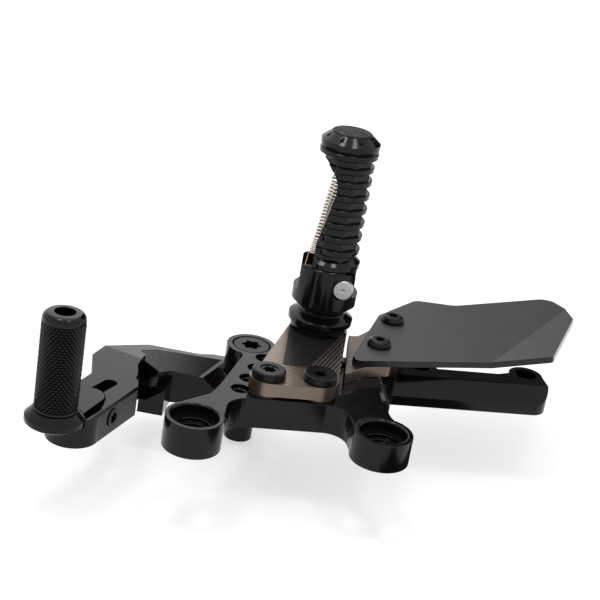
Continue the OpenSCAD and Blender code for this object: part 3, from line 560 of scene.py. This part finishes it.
def sintered_bronze(tint):
    """Pressed bronze powder soaked in oil: dull yellow brown with open pores."""
    material, tree, shader, place = new_material("Sintered bronze")
    pores = noise(tree, place, mm=0.2, detail=3.0)
    link(tree, shader, Base_Color=mix(tree, pores, shade_of(tint, 0.55), tint), Roughness=0.5,
         Normal=bump(tree, pores, mm=0.02), Metallic=1.0)
    return material


def grained_pad(tint):
    """Moulded rubber with embedded grit: matte, coarse and speckled."""
    material, tree, shader, place = new_material("Grained grip pad")
    grit = ramp(tree, noise(tree, place, mm=0.9), 0.42, 0.62)
    link(tree, shader, Base_Color=mix(tree, grit, tint, shade_of(tint, 3.2)),
         Roughness=scaled(tree, grit, 0.8, 0.4), Normal=bump(tree, grit, mm=0.25), Specular_IOR_Level=0.3)
    return material


class REARSET_OT_finishes(bpy.types.Operator):
    """Gives each CAD piece its finish and breaks its edges"""
    bl_idname = "rearset.finishes"
    bl_label = "Finish the pieces"

    def execute(self, context):
        tints = settings(context)["rearset_finishes"]
        black = black_anodised_aluminium(tints.black)
        oxide = black_oxide_steel(tints.oxide)
        stainless = turned_stainless(tints.stainless)
        sinter = sintered_bronze(tints.sinter)
        by_finish = {
            black: ("base_plate", "peg_collar", "peg_clevis", "foot_peg", "toe_peg_holder"),
            milled_black_aluminium(tints.black): ("brake_lever",),
            knurled_aluminium(tints.black, settings(context)["rearset_knurl"]): ("toe_peg",),
            milled_bronze_aluminium(tints.bronze): ("peg_adapter",),
            bronze_anodised_aluminium(tints.bronze): ("heel_guard_arm",),
            matte_guard(tints.guard): ("heel_guard",),
            oxide: ("adapter_bolts", "guard_arm_screws", "heel_guard_screws", "peg_mount_bolt", "pin_clip",
                    "pivot_bolt", "pivot_nut", "toe_peg_bolt", "holder_clamp_screw", "lever_set_screw"),
            stainless: ("hinge_pin", "spring_anchor_pin", "spring_hook_pin"),
            spring_wire(tints.wire): ("return_spring",),
            sinter: ("pivot_washer_upper", "pivot_washer_lower", "pivot_bush"),
            grained_pad(tints.grit): ("peg_end_pad",),
        }
        for material, names in by_finish.items():
            for name in names:
                paint(NODES[name], material)
        for name, piece in NODES.items():
            # These two are modelled anew by the next steps
            if name not in ("return_spring", "toe_peg"):
                break_edges(piece, tints.edge if name in LARGE else tints.fine_edge)
        return {"FINISHED"}


def break_edges(piece, width):
    """Closes a CAD node's loose triangles and rounds its sharp edges, all in modifiers."""
    weld = piece.modifiers.new("Close", "WELD")
    weld.merge_threshold = WELD * MM
    flats = piece.modifiers.new("Flats", "DECIMATE")
    flats.decimate_type = "DISSOLVE"
    flats.angle_limit = math.radians(FLAT_ANGLE)
    edge = piece.modifiers.new("Edge break", "BEVEL")
    edge.limit_method = "ANGLE"
    edge.angle_limit = math.radians(SHARP_ANGLE)
    edge.width = width
    edge.segments = 2
    # The bracket's short edges at its holes would clamp its whole bevel to nothing
    edge.use_clamp_overlap = piece.name != "base_plate"
    edge.miter_outer = "MITER_ARC"
    shade = piece.modifiers.new("Shade", "WEIGHTED_NORMAL")
    shade.keep_sharp = True


def lathe(name, at, radius, low, high, sides):
    """A round bar between two heights, to be shaped further."""
    fresh()
    bpy.ops.mesh.primitive_cylinder_add(
        vertices=sides, radius=radius, depth=high - low, end_fill_type="NGON",
        location=(at.x, at.y, (low + high) / 2))
    bar = bpy.context.object
    bar.name = name
    bpy.ops.object.transform_apply(location=True, rotation=True, scale=True)
    return bar


def round_rim(bar, z, width, segments=1):
    """Chamfers the rim of a bar at a height, or rounds it with more segments."""
    pick(bar, lambda middle: abs(middle.z - z) < MEET * MM, "EDGE")
    bpy.ops.mesh.bevel(offset=width, segments=segments, affect="EDGES", clamp_overlap=False)
    fresh()


class REARSET_OT_knurl(bpy.types.Operator):
    """Models the toe peg with its diamond knurl, its smooth domed cap and its bore"""
    bl_idname = "rearset.knurl"
    bl_label = "Knurl the toe peg"

    def execute(self, context):
        knurl = settings(context)["rearset_knurl"]
        if knurl.radius - knurl.depth <= knurl.bore:
            raise ValueError("the knurl is deeper than the toe peg's wall")
        low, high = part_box("toe_peg")
        axis = (low + high) / 2
        lap = TOE_LAP * MM
        foot = low.z + TOE_FOOT * MM
        top = foot + knurl.rows * knurl.pitch
        peg = self.band(knurl, axis, foot, top)
        sides = 2 * knurl.around
        base = lathe("toe_foot", axis, knurl.radius, low.z, foot + lap, sides)
        round_rim(base, low.z, width=0.6 * MM)
        round_rim(base, foot + lap, width=0.4 * MM)
        cap = lathe("toe_cap", axis, knurl.radius - knurl.cap, top - lap, high.z, sides)
        round_rim(cap, high.z, width=TOE_DOME * MM, segments=8)
        round_rim(cap, top - lap, width=0.5 * MM)
        join_solid(peg, base, "UNION")
        join_solid(peg, cap, "UNION")
        bore = lathe("toe_bore", axis, knurl.bore, high.z - TOE_BORE * MM, high.z + MM, BORE_SIDES)
        join_solid(peg, bore, "DIFFERENCE")
        shaft = lathe("toe_shaft", axis, knurl.bore - TOE_SHAFT_STEP * MM, low.z - MM,
                      high.z - (TOE_BORE - TOE_BORE_LAP) * MM, BORE_SIDES)
        join_solid(peg, shaft, "DIFFERENCE")
        # The unions leave slivers along their seams
        pick(peg, lambda middle: True)
        bpy.ops.mesh.remove_doubles(threshold=SLIVER * MM)
        bpy.ops.mesh.dissolve_degenerate(threshold=SLIVER * MM)
        fresh()
        settle(peg, "toe_peg_knurled")
        bpy.ops.object.shade_smooth_by_angle(angle=math.radians(22))
        material = NODES["toe_peg"].data.materials[0]
        place_piece(peg, material, "brake_lever", "toe_peg")
        return {"FINISHED"}

    def band(self, knurl, axis, foot, top):
        """One pyramid tile, repeated round and along the peg, bent into a bar and closed."""
        width = math.tau * knurl.radius / knurl.around
        fresh()
        bpy.ops.mesh.primitive_grid_add(
            x_subdivisions=2, y_subdivisions=2, size=1, rotation=(math.pi / 2, 0, 0))
        tile = bpy.context.object
        bpy.ops.object.transform_apply(location=True, rotation=True, scale=True)
        bpy.ops.object.mode_set(mode="EDIT")
        bpy.ops.mesh.select_all(action="SELECT")
        bpy.ops.transform.resize(value=(width, 1, knurl.pitch))
        # A point nearer than this to a tile's middle line counts as on it
        fine = 0.1 * width
        pick(tile, lambda at: (abs(at.x) > fine) != (abs(at.z) > fine))
        bpy.ops.transform.translate(value=(0, knurl.depth, 0))
        for x in (-1, 1):
            for z in (-1, 1):
                pick(tile, lambda at: at.y > knurl.depth / 2 and (at.x * x > fine or at.z * z > fine))
                bpy.ops.mesh.vert_connect()
        fresh()
        for count, step in ((knurl.around, (1, 0, 0)), (knurl.rows, (0, 0, 1))):
            row = tile.modifiers.new("Row", "ARRAY")
            row.count = count
            row.relative_offset_displace = step
            row.use_merge_vertices = True
            row.merge_threshold = MEET * MM
        take(tile)
        for modifier in list(tile.modifiers):
            bpy.ops.object.modifier_apply(modifier=modifier.name)
        bpy.ops.object.mode_set(mode="EDIT")
        bpy.ops.mesh.select_all(action="SELECT")
        bpy.ops.transform.translate(value=(-(knurl.around - 1) / 2 * width, 0, foot + knurl.pitch / 2))
        bpy.ops.object.mode_set(mode="OBJECT")
        bend = tile.modifiers.new("Bend", "SIMPLE_DEFORM")
        bend.deform_method = "BEND"
        bend.deform_axis = "Z"
        bend.angle = math.tau
        bpy.ops.object.modifier_apply(modifier=bend.name)
        bpy.ops.object.mode_set(mode="EDIT")
        bpy.ops.mesh.select_all(action="SELECT")
        bpy.ops.transform.translate(value=(axis.x, axis.y - knurl.radius, 0))
        bpy.ops.mesh.remove_doubles(threshold=MEET * MM)
        for z in (foot, top):
            pick(tile, lambda at: abs(at.z - z) < MEET * MM)
            bpy.ops.mesh.edge_face_add()
        bpy.ops.mesh.select_all(action="SELECT")
        bpy.ops.mesh.normals_make_consistent(inside=False)
        fresh()
        return tile


class REARSET_OT_threads(bpy.types.Operator):
    """Cuts the M8 threads into the bracket's hole grid"""
    bl_idname = "rearset.threads"
    bl_label = "Thread the hole grid"

    def execute(self, context):
        thread = settings(context)["rearset_threads"]
        fresh()
        bpy.ops.mesh.primitive_circle_add(
            vertices=3, radius=thread.height * THREAD_SHARE, rotation=(0, 0, math.pi / 2))
        ridge = bpy.context.object
        bpy.ops.object.transform_apply(location=True, rotation=True, scale=True)
        bpy.ops.object.mode_set(mode="EDIT")
        bpy.ops.mesh.select_all(action="SELECT")
        bpy.ops.transform.rotate(value=math.pi / 2, orient_axis="X", center_override=(0, 0, 0))
        bpy.ops.transform.translate(value=(GRID_HOLE * MM - THREAD_SUNK * MM, 0, THREAD_START * MM))
        fresh()
        turn = ridge.modifiers.new("Helix", "SCREW")
        turn.axis = "Z"
        turn.screw_offset = thread.pitch
        turn.iterations = int(THREAD_LENGTH * MM / thread.pitch)
        turn.steps = turn.render_steps = 20
        turn.use_smooth_shade = False
        take(ridge)
        bpy.ops.object.modifier_apply(modifier=turn.name)
        bpy.ops.object.mode_set(mode="EDIT")
        bpy.ops.mesh.select_all(action="SELECT")
        bpy.ops.mesh.fill_holes(sides=3)
        bpy.ops.mesh.select_all(action="SELECT")
        bpy.ops.mesh.normals_make_consistent(inside=False)
        fresh()
        material = NODES["base_plate"].data.materials[0]
        for row in range(GRID_SIDE):
            for column in range(GRID_SIDE):
                piece = bpy.data.objects.new("thread", ridge.data.copy())
                context.scene.collection.objects.link(piece)
                piece.location = grid_hole(column, row)
                settle(piece, f"hole_thread_{row}{column}")
                place_piece(piece, material, "bracket")
        bpy.data.objects.remove(ridge)
        return {"FINISHED"}


def heading(degrees):
    """A level direction at an angle from X."""
    turn = math.radians(degrees)
    return Vector((math.cos(turn), math.sin(turn), 0))


def grid_hole(column, row):
    """Foot of a threaded hole of the grid."""
    along = heading(GRID_ANGLE) * GRID_PITCH
    up = heading(GRID_LEAN) * GRID_RISE
    return (Vector((*GRID_FIRST, 0)) + column * along + row * up) * MM


class REARSET_OT_spring(bpy.types.Operator):
    """Winds the peg's return spring from round wire, hooked on its two pins"""
    bl_idname = "rearset.spring"
    bl_label = "Wind the return spring"

    def execute(self, context):
        spring = settings(context)["rearset_spring"]
        hook = PIN + spring.wire / MM + PIN_GAP
        route = (self.arc(ANCHOR, hook, *ANCHOR_HOOK) + self.coil(spring)
                 + self.arc(HOOK, hook, *PEG_HOOK))
        # One unbroken wire from hook to hook is beyond spin and screw, so it is swept along its route
        path = bpy.data.curves.new("return_spring_wire", "CURVE")
        path.dimensions = "3D"
        path.bevel_depth = spring.wire
        path.bevel_resolution = 3
        path.use_fill_caps = True
        line = path.splines.new("POLY")
        line.points.add(len(route) - 1)
        for point, at in zip(line.points, route):
            point.co = (*(c * MM for c in at), 1)
        wire = bpy.data.objects.new("wire", path)
        context.scene.collection.objects.link(wire)
        take(wire)
        bpy.ops.object.convert(target="MESH")
        wire = bpy.context.object
        settle(wire, "return_spring_wire")
        bpy.ops.object.shade_smooth_by_angle(angle=math.radians(50))
        paint(wire, NODES["return_spring"].data.materials[0])
        # Only the leg below the coil bridges the hinge, so the coil stays whole on a folded peg
        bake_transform(wire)
        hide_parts("return_spring")
        return {"FINISHED"}

    def arc(self, pin, radius, first, last):
        """Points of a hook round a pin."""
        angles = [math.radians(first + (last - first) * i / ROUTE_STEPS) for i in range(ROUTE_STEPS + 1)]
        return [(pin[0] + radius * math.sin(a), 0, pin[1] + radius * math.cos(a)) for a in angles]

    def coil(self, spring):
        """Points of the coil, first wound close and then open."""
        dx, dz = COIL_TOP[0] - COIL_FOOT[0], COIL_TOP[1] - COIL_FOOT[1]
        reach = math.hypot(dx, dz)
        sine, cosine = dx / reach, dz / reach
        mean = (spring.coil - spring.wire) / MM
        close_pitch = 2 * spring.wire / MM + TURN_GAP
        open_pitch = (reach - spring.close_turns * close_pitch) / spring.open_turns
        points = []
        for i in range((spring.close_turns + spring.open_turns) * ROUTE_STEPS + 1):
            turn = i / ROUTE_STEPS
            close = min(turn, spring.close_turns)
            height = close * close_pitch + (turn - close) * open_pitch
            x, y = -mean * math.cos(math.tau * turn), -mean * math.sin(math.tau * turn)
            points.append((COIL_FOOT[0] + height * sine + x * cosine, y,
                           COIL_FOOT[1] + height * cosine - x * sine))
        return points


class REARSET_OT_studio(bpy.types.Operator):
    """Sets up the floor, the soft lights and the camera"""
    bl_idname = "rearset.studio"
    bl_label = "Set up the studio"

    def execute(self, context):
        studio = settings(context)["rearset_studio"]
        scene = context.scene
        scene.view_settings.view_transform = "Standard"
        self.world(scene)
        self.floor()
        # Dark cards seen only in reflections, which paint dark reflections and the reflected floor shade
        self.flags()
        self.lights()
        self.camera(scene, studio)
        return {"FINISHED"}

    def seen(self, tree):
        """1 for what the camera, a gloss and a glass see, 0 for what lights a dull surface."""
        rays = add(tree, "LightPath").outputs
        direct = calc(tree, "MAXIMUM", rays["Is Camera Ray"], rays["Is Glossy Ray"])
        return calc(tree, "MAXIMUM", direct, rays["Is Transmission Ray"])

    def world(self, scene):
        """Even soft light, with a white background for what the camera and a gloss see."""
        world = bpy.data.worlds.new("Light tent")
        world.use_nodes = True
        tree = world.node_tree
        tree.nodes.clear()
        strength = scaled(tree, self.seen(tree), TENT_LIGHT, TENT_SEEN)
        light = add(tree, "Background", {"Color": (1, 1, 1, 1), "Strength": strength})
        add(tree, "OutputWorld", {"Surface": light.outputs[0]})
        scene.world = world

    def floor(self):
        """A wide white floor under the bracket's lowest piece."""
        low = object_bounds()[0].z
        fresh()
        bpy.ops.mesh.primitive_plane_add(size=FLOOR_SIZE, location=(0, 0, low - FLOOR_GAP * MM))
        floor = bpy.context.object
        floor.name = "floor"
        material, tree, shader, _ = new_material("White cyclorama")
        link(tree, shader, Base_Color=(FLOOR_GREY, FLOOR_GREY, FLOOR_GREY, 1), Roughness=0.9,
             Specular_IOR_Level=0.1)
        glow = add(tree, "Emission", {"Color": (1, 1, 1, 1), "Strength": FLOOR_GLOW})
        lift = add(tree, "AddShader", {0: shader.outputs["BSDF"], 1: glow.outputs[0]})
        share = add(tree, "MixShader", {0: self.seen(tree), 1: shader.outputs["BSDF"], 2: lift.outputs[0]})
        tree.links.new(share.outputs[0], tree.nodes["Material Output"].inputs["Surface"])
        floor.data.materials.append(material)
        floor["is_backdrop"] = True

    def flags(self):
        """Black cards that paint dark reflections, seen only in reflections and casting no shadow: one behind on
        the right
            paints the level faces dark there, and one on the floor paints the floor shade that the rear arm's wall
            mirrors."""
        material, tree, shader, _ = new_material("Dark reflection card")
        link(tree, shader, Base_Color=(0.01, 0.01, 0.01, 1), Roughness=0.9)
        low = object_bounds()[0].z
        # Each card's place, turn about X, width and height
        for name, at, turn, size in (("dark_reflection_card_back", (0.75, 1.4, 0.8), math.pi / 2, (1.3, 1.3, 1)),
                                     ("floor_shade_reflection_card", (0.077, -0.06, low), 0, (0.074, 0.2, 1))):
            fresh()
            bpy.ops.mesh.primitive_plane_add(size=1, location=at, rotation=(turn, 0, 0))
            card = bpy.context.object
            card.name = name
            card.scale = size
            bpy.ops.object.transform_apply(location=True, rotation=True, scale=True)
            card.data.materials.append(material)
            card.visible_camera = card.visible_diffuse = card.visible_shadow = False
            card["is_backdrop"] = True

    def lights(self):
        """Broad lamps above and behind, and two narrow ones whose glints draw the edges and the domes."""
        for name, place, wide, tall, power in LAMPS:
            lamp = bpy.data.lights.new(name, "AREA")
            lamp.shape = "RECTANGLE"
            lamp.size, lamp.size_y = wide, tall
            lamp.energy = power
            holder = bpy.data.objects.new(name, lamp)
            holder.location = place
            holder.rotation_euler = (-Vector(place)).to_track_quat("-Z", "Y").to_euler()
            bpy.context.scene.collection.objects.link(holder)

    def camera(self, scene, studio):
        """The camera at the photograph's place and angle."""
        lens = bpy.data.cameras.new("Camera")
        lens.lens = studio.lens
        lens.sensor_width = studio.sensor
        lens.clip_start, lens.clip_end = 0.01, 20
        camera = bpy.data.objects.new("Camera", lens)
        right, up = Vector(studio.right).normalized(), Vector(studio.up).normalized()
        back = right.cross(up)
        turn = Matrix((right, up, back)).transposed().to_4x4()
        camera.matrix_world = Matrix.Translation(studio.place) @ turn
        scene.collection.objects.link(camera)
        scene.camera = camera


class REARSET_PT_panel(bpy.types.Panel):
    """Lists the steps of the rear set"""
    bl_idname = "REARSET_PT_panel"
    bl_label = "Rear Set"
    bl_space_type = "VIEW_3D"
    bl_region_type = "UI"
    bl_category = "Rear Set"

    def draw(self, context):
        for step in STEPS:
            self.layout.operator(step.bl_idname)
        for group in settings(context).values():
            box = self.layout.box()
            for key in group.bl_rna.properties.keys():
                if key not in ("rna_type", "name"):
                    box.prop(group, key)


STEPS = (REARSET_OT_finishes, REARSET_OT_knurl, REARSET_OT_threads, REARSET_OT_spring, REARSET_OT_studio)
GROUPS = {
    "rearset_finishes": RearSetFinishes,
    "rearset_knurl": RearSetKnurl,
    "rearset_threads": RearSetThreads,
    "rearset_spring": RearSetSpring,
    "rearset_studio": RearSetStudio,
}


def register():
    for group in GROUPS.values():
        bpy.utils.register_class(group)
    for key, group in GROUPS.items():
        setattr(bpy.types.Scene, key, bpy.props.PointerProperty(type=group))
    for step in STEPS:
        bpy.utils.register_class(step)
    bpy.utils.register_class(REARSET_PT_panel)


def unregister():
    bpy.utils.unregister_class(REARSET_PT_panel)
    for step in reversed(STEPS):
        bpy.utils.unregister_class(step)
    for key, group in GROUPS.items():
        delattr(bpy.types.Scene, key)
        bpy.utils.unregister_class(group)


def main():
    register()
    bpy.ops.rearset.finishes()
    bpy.ops.rearset.knurl()
    bpy.ops.rearset.threads()
    bpy.ops.rearset.spring()
    bpy.ops.rearset.studio()


if __name__ == "__main__":
    main()
